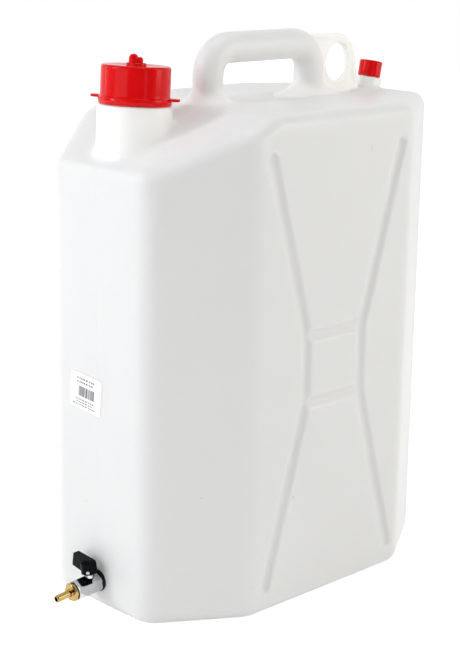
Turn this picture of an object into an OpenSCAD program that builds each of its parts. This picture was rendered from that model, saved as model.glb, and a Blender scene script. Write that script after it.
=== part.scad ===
// Carboy with spigot: a blow-moulded 25-litre class can with a ball valve and hose tail.
// Millimetres. +Z is up, -Y is the front (the end with the valve), +X is one broad side.
// The origin is the centre of the base.

/* [Can] */
// Length from front face to rear face
body_l = 352; // [300:1:420]
// Width across the two broad sides
body_w = 220.8; // [190:0.2:260]
// Height of the plateau on top
body_h = 436.4; // [380:0.2:500]
// Width of the narrow front and rear faces
face_w = 118; // [100:1:140]
// Length of each corner chamfer along the can
chamfer_l = 80; // [60:1:95]
// Rise of the inclined front shoulder, degrees
shoulder_angle = 25.4; // [20:0.1:30]
// Height at which the front face turns into the shoulder
front_h = 392; // [340:1:404]
// Wall thickness of the moulding
wall = 2.2; // [1.8:0.1:3]
// Rounding of the upright edges
upright_r = 15; // [13:0.5:20]
// Rounding of the bottom and top edges
rim_r = 12; // [10:0.5:12.5]

/* [Brace grooves] */
// Width of a groove at the surface
groove_w = 12; // [9:0.5:16]
// Depth of a groove
groove_d = 3.6; // [2:0.2:5]
// Half width of the central square
square_half_w = 35; // [28:1:45]
// Half height of the central square
square_half_h = 30; // [24:1:40]
// Height of the square's centre
square_h = 214.4; // [190:0.2:230]
// Reach of the diagonal grooves along the can, from the square's centre
diagonal_reach = 81; // [70:1:84]
// Clearance of the grooves' ends from the base
groove_foot = 25.4; // [20:0.2:40]
// Clearance of the grooves' ends from the plateau
groove_head = 35; // [28:1:50]
// Place of the pattern's centre line along the can
groove_y = 2; // [-4:1:4]

/* [Filler neck] */
// Outer diameter of the collar
collar_d = 63.2; // [58:0.2:66]
// Distance of the neck's axis from the front face
neck_setback = 42; // [38:1:50]
// Height of the collar's top above the plateau
collar_rise = 4; // [2:0.2:10]
// Lean of the neck towards the rear, degrees
neck_lean = 3.2; // [0:0.1:5]
// Outer diameter of the neck's finish, over the thread lands
finish_d = 52.6; // [48:0.2:54]
// Bore of the neck
mouth_d = 46; // [40:0.5:46]
// Height of the finish above the collar
finish_h = 28; // [24:0.1:32]

/* [Filler cap] */
// Outer diameter of the skirt
cap_d = 58.8; // [57:0.2:62]
// Height of the cap without its stud
cap_h = 31.8; // [31:0.2:36]
// Wall of the skirt
cap_wall = 2.1; // [1.6:0.1:2.2]
// Thickness of the cap's top
cap_top = 2.4; // [2:0.1:3]
// Sinking of the cap's top in its middle
cap_dish = 1.2; // [0:0.1:1.4]
// Diameter of the flange at the skirt's foot
flange_d = 62.4; // [60:0.2:65]
// Height of the flange
flange_t = 6; // [3:0.1:7]
// Reach of the two lugs from the axis
lug_reach = 38.4; // [35:0.2:42]
// Width of a lug
lug_w = 9; // [6:0.5:12]
// Direction of the lugs about the axis, degrees
lug_turn = 35; // [0:1:179]
// Gap between collar and flange with the cap screwed down
cap_gap = 0.6; // [0.4:0.1:1]
// Diameter of the disc under the stud
stud_disc_d = 17; // [12:0.5:22]
// Height of the stud
stud_h = 10.4; // [8:0.2:12]

/* [Vent neck and cap] */
// Distance of the vent's axis from the rear face
vent_setback = 15; // [13.5:0.5:20]
// Lean of the vent towards the rear, degrees
vent_lean = 11; // [0:1:14]
// Outer diameter of the vent's collar
vent_collar_d = 24.4; // [23:0.2:26]
// Height of the vent's collar above the plateau
vent_rise = 9.6; // [7:0.2:14]
// Outer diameter of the vent's finish
vent_finish_d = 17.6; // [16:0.2:18]
// Bore of the vent
vent_bore_d = 13.2; // [8:0.2:13.4]
// Outer diameter of the vent cap
vent_cap_d = 21.6; // [21:0.2:24]
// Height of the vent cap
vent_cap_h = 15; // [13:0.5:18]
// Wall and top of the vent cap
vent_cap_wall = 1.6; // [1.2:0.1:1.6]

/* [Handle and tab] */
// Diameter of the handle's tube
handle_d = 27.2; // [24:0.2:29]
// Height of the handle's top above the plateau
handle_rise = 59.5; // [54:0.5:70]
// Distance of the front leg's axis behind the can's front
front_leg_setback = 125.4; // [122:0.2:130]
// Distance of the rear leg's axis ahead of the can's rear
rear_leg_setback = 100; // [96:0.5:106]
// Bend radius of the handle's corners, at the tube's axis
handle_bend = 23; // [20:0.5:28]
// Radius of the flare at each foot of the handle
foot_flare = 13; // [6:0.5:13]
// Thickness of the tab
tab_t = 4.4; // [4:0.2:8]
// Height of the tab above the plateau
tab_rise = 53; // [48:0.5:56]
// Distance of the tab's rear edge ahead of the can's rear
tab_setback = 38.6; // [36:0.2:42]
// Radius of the tab's upper corner
tab_corner_r = 27; // [20:1:28]
// Width of the tab's oval hole
eye_w = 31; // [22:0.5:31]
// Height of the tab's oval hole
eye_h = 34.6; // [31:0.2:36]
// Thickness that the bead round the tab's edge adds on each side
bead_t = 1.2; // [0.6:0.1:2]

/* [Label] */
// Width of the label
label_w = 41.5; // [30:0.5:50]
// Height of the label
label_h = 32; // [25:0.5:40]
// Thickness of the label
label_t = 0.2; // [0.1:0.05:0.3]
// Place of the label's centre across the front face
label_x = -16.2; // [-20:0.2:20]
// Height of the label's centre
label_z = 194; // [150:0.5:220]
// Slant of the label, degrees
label_slant = 4.7; // [-6:0.1:6]

/* [Valve] */
// Height of the valve's axis
tap_h = 26; // [21:0.5:40]
// Droop of the valve's axis, degrees
valve_droop = 5; // [0:0.5:6]
// Width across flats of the valve's body
valve_af = 17; // [16.4:0.1:20]
// Length of the valve's body
valve_l = 26; // [25.4:0.2:32]
// Distance of the stem's axis from the wall
stem_setback = 10.3; // [10.3:0.1:13]
// Diameter of the valve's stub through the wall
stub_d = 13.1; // [12:0.1:13.6]
// Length of the stub
stub_l = 16; // [15:0.5:20]
// Diameter of the outer washer
washer_d = 19; // [18:0.5:19]
// Thickness of the outer washer
washer_t = 2; // [1:0.1:2.2]
// Diameter of the ball
ball_d = 12.2; // [11.6:0.1:12.4]
// Bore of the ball and of the seats
port_d = 6.4; // [5:0.1:6.8]
// Diameter of the stem
stem_d = 5; // [4:0.1:5.4]
// Height of the boss above the body's flat
boss_h = 2.6; // [2.4:0.1:4]

/* [Lever] */
// Reach of the blade's foot from the stem's axis
blade_reach = 19; // [17:0.5:26]
// Thickness of the blade
blade_t = 5.6; // [3:0.2:7]
// Height of the blade
blade_h = 12.6; // [10:0.2:16]
// Lean of the blade's tip, from its foot to its top
tip_lean = 2.8; // [0:0.2:4]
// Diameter of the lever's hub
hub_d = 13.4; // [12:0.2:16]

/* [Hose tail] */
// Width across flats of the hose tail's hexagon
tail_af = 14.6; // [13:0.1:16]
// Thickness of the hexagon
tail_hex_t = 3.2; // [2:0.2:6]
// Outer diameter of the tail
tail_d = 6.6; // [5:0.1:8]
// Length of the tail beyond the hexagon
tail_l = 15.6; // [12:0.2:24]
// Bore of the tail
tail_bore_d = 4.4; // [3:0.1:4.6]

/* [Hidden] */
$fn = 64;

// Facets of the corner pieces that the can's hull wraps
corner_fn = 32;
// Overlap that lets a cut run past a face
cut = 1;
// Running clearance of the stem, radial
run_gap = 0.05;
// Running clearance between ball and seats
ball_gap = 0.03;
// Clearance of a part that slips into another, radial
slip_gap = 0.15;

front_y = -body_l / 2;
rear_y = body_l / 2;
side_x = body_w / 2;

// Plan of the can: the centres of its rounded upright edges
chamfer_x = (body_w - face_w) / 2;
chamfer_slope = norm([chamfer_x, chamfer_l]);
chamfer_n = [chamfer_l, chamfer_x] / chamfer_slope;
edge_x = side_x - upright_r;
edge_y = rear_y - upright_r;
chamfer_reach = chamfer_n * [face_w / 2, rear_y] - upright_r;
face_corner = [(chamfer_reach - chamfer_n[1] * edge_y) / chamfer_n[0], edge_y];
side_corner = [edge_x, (chamfer_reach - chamfer_n[0] * edge_x) / chamfer_n[1]];
plan_corners = [face_corner, side_corner];

// Shoulder: the height of a corner piece's centre under the inclined plane
shoulder_inset = rim_r + (upright_r - rim_r) * sin(shoulder_angle);
plateau_z = body_h - rim_r;
function shoulder_z(y) =
    front_h + (y - front_y) * tan(shoulder_angle) - shoulder_inset / cos(shoulder_angle);
// The slope's upper end, which lies no farther forward than the front corners
crease_y = max(-side_corner[1],
    front_y + (plateau_z - front_h + shoulder_inset / cos(shoulder_angle)) / tan(shoulder_angle));
function top_z(y) = min(plateau_z, shoulder_z(y));

// Grooves: a round bar sunk into each broad side
groove_r = (groove_w * groove_w / 4 + groove_d * groove_d) / (2 * groove_d);
groove_x = side_x + groove_r - groove_d;
square_top = square_h + square_half_h;
square_foot = square_h - square_half_h;
// The square's bars lie a little shallower than its posts, and the diagonals a little deeper
bar_step = 0.3;

// Filler neck, measured from the middle of the collar's top
neck_y = front_y + neck_setback;
collar_z = body_h + collar_rise;
collar_r = collar_d / 2;
// Depth to which the collar runs down into the can
collar_depth = collar_rise + max(rim_r, body_h - front_h);
cap_r = cap_d / 2;
cap_inner_r = cap_r - cap_wall;
cap_ceiling = cap_gap + cap_h - cap_top;
// Gap that keeps a liner just clear of its cap's top
liner_gap = 0.05;
// Gap round a liner's edge
liner_inset = 0.3;
liner_t = cap_ceiling - finish_h - liner_gap;
// Rounding of the cap's upper edge
cap_edge_r = 2.4;
// Rounding of the flange's edge
flange_edge = 1.4;
// Thickness of a lug
lug_t = 2.4;
// Turn of the stud on the cap
stud_turn = 46;
// The stud's disc, its large round lobe and its small one
disc_h = 3.2;
disc_edge = 1.2;
lobe_r = 4.1;
lobe_x = -2.4;
small_r = 2.6;
small_h = disc_h + 2.2;
small_at = [3, -0.6, 0];

// Vent, measured from the middle of its collar's top
vent_z = body_h + vent_rise;
vent_y = rear_y - vent_setback;
vent_gap = 0.4;
// Room that the vent's finish leaves under its cap for the liner
vent_headroom = 1;
vent_finish_h = vent_cap_h - vent_cap_wall - vent_headroom;
vent_ceiling = vent_gap + vent_cap_h - vent_cap_wall;
vent_depth = vent_rise + rim_r;

// Handle
handle_r = handle_d / 2;
grip_z = body_h + handle_rise - handle_r;
front_leg_y = front_y + front_leg_setback;
rear_leg_y = rear_y - rear_leg_setback;
leg_sink = rim_r;
tab_z = body_h + tab_rise;
tab_end_y = rear_y - tab_setback;
// Centre of the tab's upper corner, in y and z
tab_centre = [tab_end_y - tab_corner_r, tab_z - tab_corner_r];
// Centre of the oval hole, a little behind and above that centre
eye_at = tab_centre + [2.8, 0.8];
// Widening of the tab towards its foot, at the rear
tab_spread = 7;
// Width of the bead round the tab's edge
bead_w = 4;

// Valve: places along its axis
washer_r = washer_d / 2;
hex_back = front_y - washer_t;
hex_front = hex_back - valve_l;
stem_y = front_y - stem_setback;
ball_r = ball_d / 2;
port_r = port_d / 2;
chamber_gap = 0.25;
chamber_r = ball_r + chamber_gap;
// Distance of each seat's back from the ball's centre
seat_reach = 5.6;
seat_t = 2.4;
chamber_back = stem_y + seat_reach;
retainer_t = 4;
retainer_front = stem_y - seat_reach - retainer_t;
stub_r = stub_d / 2;
hole_r = stub_r + slip_gap;
nut_t = 6;
nut_af = 17;
nut_y = front_y + wall + washer_t;

// Stem: heights above the valve's axis
valve_flat = valve_af / 2;
boss_top = valve_flat + boss_h;
stem_r = stem_d / 2;
flange_r = stem_r + 1;
pocket_r = flange_r + slip_gap;
tang_foot = ball_r - 1.8;
tang_w = 2.4;
stem_washer_t = 0.6;
stem_flange_t = 1;
pocket_top = valve_flat - 0.2;
flange_foot = pocket_top - stem_washer_t - stem_flange_t;
groove_z = (pocket_top + boss_top) / 2;
ring_r = 0.5;
boss_r = stem_r + 2.2;

// Lever: heights above the valve's axis
hub_foot = boss_top + 0.3;
hub_r = hub_d / 2;
blade_foot = hub_foot + 2.4;
blade_top = blade_foot + blade_h;
hub_top = blade_top - 5;
stem_top = hub_top - 1;
// Reach of the blade's short end, on the far side of the hub
heel_reach = hub_r + 2.3;
flat_half = stem_r - 0.7;
skirt_h = 1;
skirt_r = hub_r - 1.8;
screw_r = 1.5;
screw_z = hub_foot + skirt_h + screw_r - 0.2;
screw_turn = -45;

// Hose tail
seal_t = 0.8;
tail_hex_back = hex_front - seal_t;
tail_front = tail_hex_back - tail_hex_t;
tail_tip = tail_front - tail_l;
thread_r = chamber_r - slip_gap;
// Inner end of the hose tail's thread
thread_tip = retainer_front - 0.4;
// Turn of the hexagon about the axis
tail_turn = 40;

module on_neck() {
    translate([0, neck_y, collar_z]) rotate([-neck_lean, 0, 0]) children();
}

module on_vent() {
    translate([0, vent_y, vent_z]) rotate([-vent_lean, 0, 0]) children();
}

// Tilts what is drawn on a level valve to the valve's droop, about the point where its axis meets the wall
module drooped() {
    translate([0, front_y, tap_h]) rotate([valve_droop, 0, 0]) translate([0, -front_y, -tap_h]) children();
}

// Stands a shape made along +Z on the valve's axis, pointing out of the can, with its foot at y
module along_valve(y) {
    drooped() translate([0, y, tap_h]) rotate([90, 0, 0]) children();
}

// Places a shape on the stem's axis, with heights counted from the valve's axis
module on_stem() {
    drooped() translate([0, stem_y, tap_h]) children();
}

module ring(r_out, r_in, h) {
    difference() {
        cylinder(r = r_out, h = h);
        translate([0, 0, -cut]) cylinder(r = r_in, h = h + 2 * cut);
    }
}

module hexagon(af, h) {
    cylinder(r = af / sqrt(3), h = h, $fn = 6);
}

// One rounded corner of the can's hull, shrunk by the wall for the inside
module corner_piece(inset) {
    rotate_extrude($fn = corner_fn) intersection() {
        translate([upright_r - rim_r, 0]) circle(r = rim_r - inset, $fn = corner_fn);
        translate([0, -rim_r]) square([upright_r, 2 * rim_r]);
    }
}

// The can's rounded octagonal form with its inclined shoulder
module can_form(inset) {
    hull() for (sx = [-1, 1]) {
        for (sy = [-1, 1], p = plan_corners) {
            translate([sx * p[0], sy * p[1], rim_r]) corner_piece(inset);
            translate([sx * p[0], sy * p[1], top_z(sy * p[1])]) corner_piece(inset);
        }
        translate([sx * edge_x, crease_y, plateau_z]) corner_piece(inset);
    }
}

// A bar with round ends between two points of a broad side, given as [y, z]
module groove_bar(a, b, r) {
    run = b - a;
    turn = atan2(run[1], run[0]);
    translate([0, a[0], a[1]]) rotate([turn, 0, 0]) rotate([-90, 0, 0]) rotate_extrude() {
        square([r, norm(run)]);
        for (end = [0, norm(run)]) intersection() {
            translate([0, end]) circle(r = r);
            translate([0, -r]) square([r, norm(run) + 2 * r]);
        }
    }
}

module brace_grooves(grow) {
    r = groove_r + grow;
    for (sx = [-1, 1]) translate([sx * groove_x, groove_y, 0]) {
        for (sy = [-1, 1]) {
            groove_bar([sy * square_half_w, square_foot], [sy * square_half_w, square_top], r);
            groove_bar([sy * square_half_w, square_top], [sy * diagonal_reach, body_h - groove_head], r + bar_step);
            groove_bar([sy * square_half_w, square_foot], [sy * diagonal_reach, groove_foot], r + bar_step);
        }
        for (z = [square_foot, square_top])
            groove_bar([-square_half_w, z], [square_half_w, z], r - bar_step);
    }
}

// The handle's tube and legs, thinned by the wall for the inside
module handle_tube(inset) {
    r = handle_r - inset;
    leg_foot = body_h - leg_sink;
    leg_h = grip_z - handle_bend - leg_foot;
    translate([0, front_leg_y, leg_foot]) cylinder(r = r, h = leg_h);
    translate([0, rear_leg_y, leg_foot]) cylinder(r = r, h = leg_h);
    translate([0, front_leg_y + handle_bend, grip_z]) rotate([-90, 0, 0])
        cylinder(r = r, h = rear_leg_y - front_leg_y - 2 * handle_bend);
    translate([0, front_leg_y + handle_bend, grip_z - handle_bend]) rotate([90, 0, 90]) rotate([0, 0, 90])
        rotate_extrude(angle = 90) translate([handle_bend, 0]) circle(r = r);
    translate([0, rear_leg_y - handle_bend, grip_z - handle_bend]) rotate([90, 0, 90])
        rotate_extrude(angle = 90) translate([handle_bend, 0]) circle(r = r);
}

// Concave flare where a leg of the handle runs into the plateau
module foot_flare_ring() {
    rotate_extrude() difference() {
        translate([0, -cut]) square([handle_r + foot_flare, foot_flare + cut]);
        translate([handle_r + foot_flare, foot_flare]) circle(r = foot_flare);
    }
}

// Side outline of the tab, in the plane of y and z
module tab_outline(inset) {
    tab_foot = body_h - leg_sink;
    translate(tab_centre) circle(r = tab_corner_r - inset);
    polygon([[rear_leg_y, tab_foot], [rear_leg_y, tab_z - inset], [tab_centre[0], tab_z - inset],
        [tab_end_y - inset, tab_centre[1]], [tab_end_y + tab_spread - inset, tab_foot]]);
}

// Outline of the oval hole, in the same plane
module eye_outline() {
    straight = eye_h - eye_w;
    translate(eye_at) {
        for (s = [-1, 1]) translate([0, s * straight / 2]) circle(r = eye_w / 2);
        square([eye_w, straight], center = true);
    }
}

// Turns an outline drawn in y and z into a plate of the given thickness in the middle plane
module middle_plate(t) {
    translate([-t / 2, 0, 0]) rotate([90, 0, 90]) linear_extrude(height = t) children();
}

module carboy_tab() {
    difference() {
        union() {
            middle_plate(tab_t) tab_outline(0);
            middle_plate(tab_t + 2 * bead_t) difference() {
                tab_outline(0);
                tab_outline(bead_w);
            }
        }
        middle_plate(tab_t + 4 * bead_t) eye_outline();
    }
}

// The can's form with its grooves, shrunk by the wall for the inside
module grooved_form(inset) {
    difference() {
        can_form(inset);
        brace_grooves(inset);
    }
}

// What stands out of the can: necks, handle and tab
module fittings_outside() {
    on_neck() translate([0, 0, -collar_depth]) cylinder(r = collar_r, h = collar_depth);
    on_neck() cylinder(r = finish_d / 2, h = finish_h);
    on_vent() translate([0, 0, -vent_depth]) cylinder(r = vent_collar_d / 2, h = vent_depth);
    on_vent() cylinder(r = vent_finish_d / 2, h = vent_finish_h);
    handle_tube(0);
    for (y = [front_leg_y, rear_leg_y]) translate([0, y, body_h]) foot_flare_ring();
    carboy_tab();
}

// The hollows of the necks and the handle, and the hole for the valve
module fittings_inside() {
    handle_tube(wall);
    on_neck() translate([0, 0, -collar_depth - cut]) cylinder(r = collar_r - wall, h = collar_depth + cut - wall);
    on_neck() translate([0, 0, -collar_depth]) cylinder(r = mouth_d / 2, h = collar_depth + finish_h + cut);
    on_vent() translate([0, 0, -vent_depth]) cylinder(r = vent_bore_d / 2, h = vent_depth + vent_finish_h + cut);
    along_valve(front_y + wall + cut) cylinder(r = hole_r, h = wall + 2 * cut);
}

module carboy() {
    color("whitesmoke") difference() {
        union() {
            grooved_form(0);
            fittings_outside();
        }
        grooved_form(wall);
        fittings_inside();
    }
}

module label() {
    corner = 2;
    color("white") translate([label_x, front_y, label_z]) rotate([0, label_slant, 0]) rotate([90, 0, 0])
        linear_extrude(height = label_t) {
            square([label_w - 2 * corner, label_h], center = true);
            square([label_w, label_h - 2 * corner], center = true);
            for (sx = [-1, 1], sz = [-1, 1])
                translate([sx * (label_w / 2 - corner), sz * (label_h / 2 - corner)]) circle(r = corner);
        }
}

// Half section of the filler cap, from its underside up
module filler_cap_section() {
    flange_r = flange_d / 2;
    dish_r = cap_r - 1.6 * cap_edge_r;
    difference() {
        union() {
            square([cap_r, cap_h - cap_edge_r]);
            square([cap_r - cap_edge_r, cap_h]);
            translate([cap_r - cap_edge_r, cap_h - cap_edge_r]) circle(r = cap_edge_r);
            square([flange_r, flange_t - flange_edge]);
            square([flange_r - flange_edge, flange_t]);
            translate([flange_r - flange_edge, flange_t - flange_edge]) circle(r = flange_edge);
        }
        translate([-cut, -cut]) square([cap_inner_r + cut, cap_h - cap_top + cut]);
        polygon([[-cut, cap_h - cap_dish], [dish_r / 2, cap_h - cap_dish], [dish_r, cap_h],
            [dish_r, cap_h + cut], [-cut, cap_h + cut]]);
    }
}

// Lobed stud on its disc, moulded on the cap's top
module cap_stud() {
    rotate_extrude() intersection() {
        union() {
            square([stud_disc_d / 2 - disc_edge, disc_h]);
            square([stud_disc_d / 2, disc_h - disc_edge]);
            translate([stud_disc_d / 2 - disc_edge, disc_h - disc_edge]) circle(r = disc_edge);
        }
        square(stud_disc_d);
    }
    translate([lobe_x, 0, 0]) cylinder(r = lobe_r, h = stud_h - lobe_r);
    translate([lobe_x, 0, stud_h - lobe_r]) sphere(r = lobe_r);
    translate(small_at) cylinder(r = small_r, h = small_h);
    translate(small_at + [0, 0, small_h]) sphere(r = small_r);
}

module filler_cap() {
    lug_end = lug_reach - lug_w / 2;
    lug_foot = flange_t - lug_t;
    color("red") on_neck() translate([0, 0, cap_gap]) {
        rotate_extrude() filler_cap_section();
        for (turn = [lug_turn, lug_turn + 180]) rotate([0, 0, turn]) translate([0, 0, lug_foot]) {
            translate([lug_end, 0, 0]) cylinder(r = lug_w / 2, h = lug_t);
            translate([cap_r, -lug_w / 2, 0]) cube([lug_end - cap_r, lug_w, lug_t]);
        }
        translate([0, 0, cap_h - cap_dish]) rotate([0, 0, stud_turn]) cap_stud();
    }
}

module filler_liner() {
    color("white") on_neck() translate([0, 0, finish_h]) cylinder(r = cap_inner_r - liner_inset, h = liner_t);
}

module vent_cap() {
    r = vent_cap_d / 2;
    edge = 1;
    color("red") on_vent() translate([0, 0, vent_gap]) difference() {
        rotate_extrude() {
            square([r, vent_cap_h - edge]);
            square([r - edge, vent_cap_h]);
            intersection() {
                translate([r - edge, vent_cap_h - edge]) circle(r = edge);
                square([r, vent_cap_h]);
            }
        }
        translate([0, 0, -cut]) cylinder(r = r - vent_cap_wall, h = vent_cap_h - vent_cap_wall + cut);
    }
}

module vent_liner() {
    color("white") on_vent() translate([0, 0, vent_finish_h])
        cylinder(r = vent_cap_d / 2 - vent_cap_wall - liner_inset, h = vent_ceiling - vent_finish_h - liner_gap);
}

// Hexagonal body, chamfered at both ends
module valve_hex() {
    r = valve_af / sqrt(3);
    bevel = r - valve_flat;
    back_bevel = 1.6;
    along_valve(hex_back) intersection() {
        hexagon(valve_af, valve_l);
        rotate_extrude() polygon([[0, 0], [valve_flat, 0], [r, back_bevel], [r, valve_l - bevel / 2],
            [r - bevel, valve_l], [0, valve_l]]);
    }
}

module valve_body() {
    color("silver") difference() {
        union() {
            valve_hex();
            along_valve(hex_back + stub_l) cylinder(r = stub_r, h = stub_l + cut);
            on_stem() translate([0, 0, valve_flat - cut]) cylinder(r = boss_r, h = boss_h + cut);
        }
        along_valve(chamber_back) cylinder(r = chamber_r, h = chamber_back - hex_front + cut);
        along_valve(hex_back + stub_l + cut) cylinder(r = port_r, h = stub_l + washer_t + stem_setback + cut);
        on_stem() cylinder(r = pocket_r, h = pocket_top);
        on_stem() cylinder(r = stem_r + run_gap, h = boss_top + cut);
    }
}

module ball() {
    color("gainsboro") on_stem() difference() {
        sphere(r = ball_r);
        rotate([0, 90, 0]) translate([0, 0, -ball_d]) cylinder(r = port_r, h = 2 * ball_d);
        translate([-tang_w / 2 - slip_gap, -ball_d, tang_foot - slip_gap])
            cube([tang_w + 2 * slip_gap, 2 * ball_d, ball_d]);
    }
}

// Seat ring whose face is hollowed to the ball
module seat() {
    difference() {
        translate([0, 0, seat_reach - seat_t]) ring(chamber_r - run_gap, port_r, seat_t);
        sphere(r = ball_r + ball_gap);
    }
}

module seat_inner() {
    color("ivory") on_stem() rotate([-90, 0, 0]) seat();
}

module seat_outer() {
    color("ivory") on_stem() rotate([90, 0, 0]) seat();
}

// Ring with a screwdriver slot across its face
module seat_retainer() {
    slot_w = 1.6;
    slot_d = 1.2;
    color("goldenrod") along_valve(stem_y - seat_reach) difference() {
        ring(thread_r, port_r, retainer_t);
        translate([-ball_d, -slot_w / 2, retainer_t - slot_d]) cube([2 * ball_d, slot_w, slot_d + cut]);
    }
}

// Stem with its tang in the ball, flange, ring groove and flats for the lever
module stem() {
    color("goldenrod") on_stem() difference() {
        union() {
            intersection() {
                translate([-tang_w / 2, -ball_r, tang_foot]) cube([tang_w, ball_d, flange_foot - tang_foot + 0.2]);
                cylinder(r = stem_r + 0.6, h = flange_foot + 1);
            }
            translate([0, 0, flange_foot]) cylinder(r = flange_r, h = stem_flange_t);
            translate([0, 0, flange_foot]) cylinder(r = stem_r, h = stem_top - flange_foot);
        }
        translate([0, 0, groove_z - ring_r]) ring(stem_r + cut, stem_r - 2 * ring_r + 0.1, 2 * ring_r);
        for (s = [-1, 1]) translate([-stem_d, s * (stem_d + flat_half) - stem_d, hub_foot + skirt_h])
            cube([2 * stem_d, 2 * stem_d, blade_h]);
    }
}

module stem_washer() {
    color("ivory") on_stem() translate([0, 0, flange_foot + stem_flange_t])
        ring(flange_r, stem_r + run_gap, stem_washer_t);
}

module stem_o_ring() {
    color("black") on_stem() translate([0, 0, groove_z])
        rotate_extrude() translate([stem_r - ring_r + 0.05, 0]) circle(r = ring_r - 0.05);
}

// Side of the blade, in x and z: it stands above the hub's foot and falls a little towards its heel
module blade_side() {
    polygon([[-hub_r + 0.6, hub_foot], [heel_reach - 2.4, hub_foot], [heel_reach, hub_foot + 1.6],
        [heel_reach - 0.8, blade_top - 3.3], [heel_reach - 3.6, blade_top - 1.7],
        [-blade_reach + tip_lean + 0.5, blade_top], [-blade_reach + tip_lean, blade_top - 0.5],
        [-blade_reach, blade_foot + 0.5], [-blade_reach + 0.5, blade_foot]]);
}

// The lever before its holes: a plate through a round hub that closes to the plate at its top
module lever_blank() {
    translate([0, blade_t / 2, 0]) rotate([90, 0, 0]) linear_extrude(height = blade_t) blade_side();
    translate([0, 0, hub_foot]) cylinder(r = hub_r, h = hub_top - hub_foot);
    translate([0, 0, hub_top]) cylinder(r1 = hub_r, r2 = blade_t / 2, h = blade_top - hub_top - 2.4);
}

module lever() {
    color("black") on_stem() difference() {
        lever_blank();
        translate([0, 0, hub_foot - cut]) cylinder(r = skirt_r, h = skirt_h + cut);
        difference() {
            translate([0, 0, hub_foot]) cylinder(r = stem_r + run_gap, h = stem_top - hub_foot + 0.3);
            for (s = [-1, 1]) translate([-stem_d, s * (stem_d + flat_half + run_gap) - stem_d, hub_foot + skirt_h + 0.1])
                cube([2 * stem_d, 2 * stem_d, blade_h]);
        }
        translate([0, 0, screw_z]) rotate([0, 0, screw_turn]) rotate([0, 90, 0])
            cylinder(r = screw_r + run_gap, h = hub_d);
    }
}

module lever_screw() {
    screw_start = stem_r + run_gap;
    screw_l = hub_r - 0.3 - screw_start;
    slot_w = 0.6;
    slot_d = 0.9;
    color("silver") on_stem() translate([0, 0, screw_z]) rotate([0, 0, screw_turn]) rotate([0, 90, 0])
        translate([0, 0, screw_start]) difference() {
            cylinder(r = screw_r, h = screw_l);
            translate([-2 * screw_r, -slot_w / 2, screw_l - slot_d]) cube([4 * screw_r, slot_w, slot_d + cut]);
        }
}

module hose_tail() {
    lip = 0.6;
    bevel = 0.8;
    face_r = tail_af / 2 - 0.2;
    color("gold") difference() {
        union() {
            along_valve(tail_hex_back) intersection() {
                rotate([0, 0, tail_turn]) hexagon(tail_af, tail_hex_t);
                rotate_extrude() polygon([[0, 0], [tail_af, 0], [tail_af / sqrt(3), tail_hex_t - bevel],
                    [face_r, tail_hex_t], [0, tail_hex_t]]);
            }
            along_valve(thread_tip) cylinder(r = thread_r, h = thread_tip - tail_hex_back);
            along_valve(tail_front) cylinder(r = tail_d / 2, h = tail_l - lip);
            along_valve(tail_tip + lip) cylinder(r1 = tail_d / 2, r2 = tail_d / 2 - lip / 2, h = lip);
        }
        along_valve(thread_tip + cut) cylinder(r = tail_bore_d / 2, h = thread_tip - tail_tip + 2 * cut);
    }
}

module tail_seal() {
    color("dimgray") along_valve(hex_front) ring(tail_af / 2 - 0.1, thread_r + slip_gap, seal_t);
}

// Washer squeezed between a wall face at y and the drooping valve's face, both counted along the axis
module squeezed_washer(r, wall_y, far_y) {
    out = sign(wall_y - far_y);
    difference() {
        translate([0, wall_y, tap_h]) rotate([out * 90, 0, 0]) cylinder(r = r, h = 2 * washer_t);
        drooped() translate([-washer_d, far_y - (1 + out) / 2 * washer_d, tap_h - washer_d])
            cube([2 * washer_d, washer_d, 2 * washer_d]);
        along_valve(nut_y + cut) cylinder(r = hole_r, h = nut_y - hex_back + 2 * cut);
    }
}

module outer_washer() {
    color("black") squeezed_washer(washer_r, front_y, hex_back);
}

// The washer inside the can is a little smaller than the one outside
module inner_washer() {
    step = 0.5;
    color("black") squeezed_washer(washer_r - step, front_y + wall, nut_y);
}

module lock_nut() {
    color("goldenrod") along_valve(nut_y + nut_t) difference() {
        hexagon(nut_af, nut_t);
        translate([0, 0, -cut]) cylinder(r = stub_r + run_gap, h = nut_t + 2 * cut);
    }
}

carboy();
label();
filler_cap();
filler_liner();
vent_cap();
vent_liner();
valve_body();
ball();
seat_inner();
seat_outer();
seat_retainer();
stem();
stem_washer();
stem_o_ring();
lever();
lever_screw();
hose_tail();
tail_seal();
outer_washer();
inner_washer();
lock_nut();
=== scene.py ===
import math

import bmesh
import bpy
from mathutils import Matrix, Vector


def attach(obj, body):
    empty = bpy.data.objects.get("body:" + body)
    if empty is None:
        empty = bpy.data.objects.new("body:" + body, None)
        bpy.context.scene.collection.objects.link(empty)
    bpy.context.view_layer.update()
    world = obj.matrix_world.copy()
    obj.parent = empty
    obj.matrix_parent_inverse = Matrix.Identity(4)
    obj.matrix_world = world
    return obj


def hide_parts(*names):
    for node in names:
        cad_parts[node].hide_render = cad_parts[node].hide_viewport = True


# A blow-moulded carboy of natural polyethylene with two red screw caps, a paper label
# and a small chromed ball valve. Shapes are worked out in millimetres and stored in metres.

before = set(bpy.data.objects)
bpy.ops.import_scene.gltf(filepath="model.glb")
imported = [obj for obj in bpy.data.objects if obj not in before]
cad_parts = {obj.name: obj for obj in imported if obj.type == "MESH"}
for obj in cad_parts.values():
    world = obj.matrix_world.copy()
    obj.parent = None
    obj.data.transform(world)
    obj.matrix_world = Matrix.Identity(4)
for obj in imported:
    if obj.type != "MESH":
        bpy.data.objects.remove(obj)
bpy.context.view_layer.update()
MM = 0.001
MERGE_DIST = 1e-4

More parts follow.
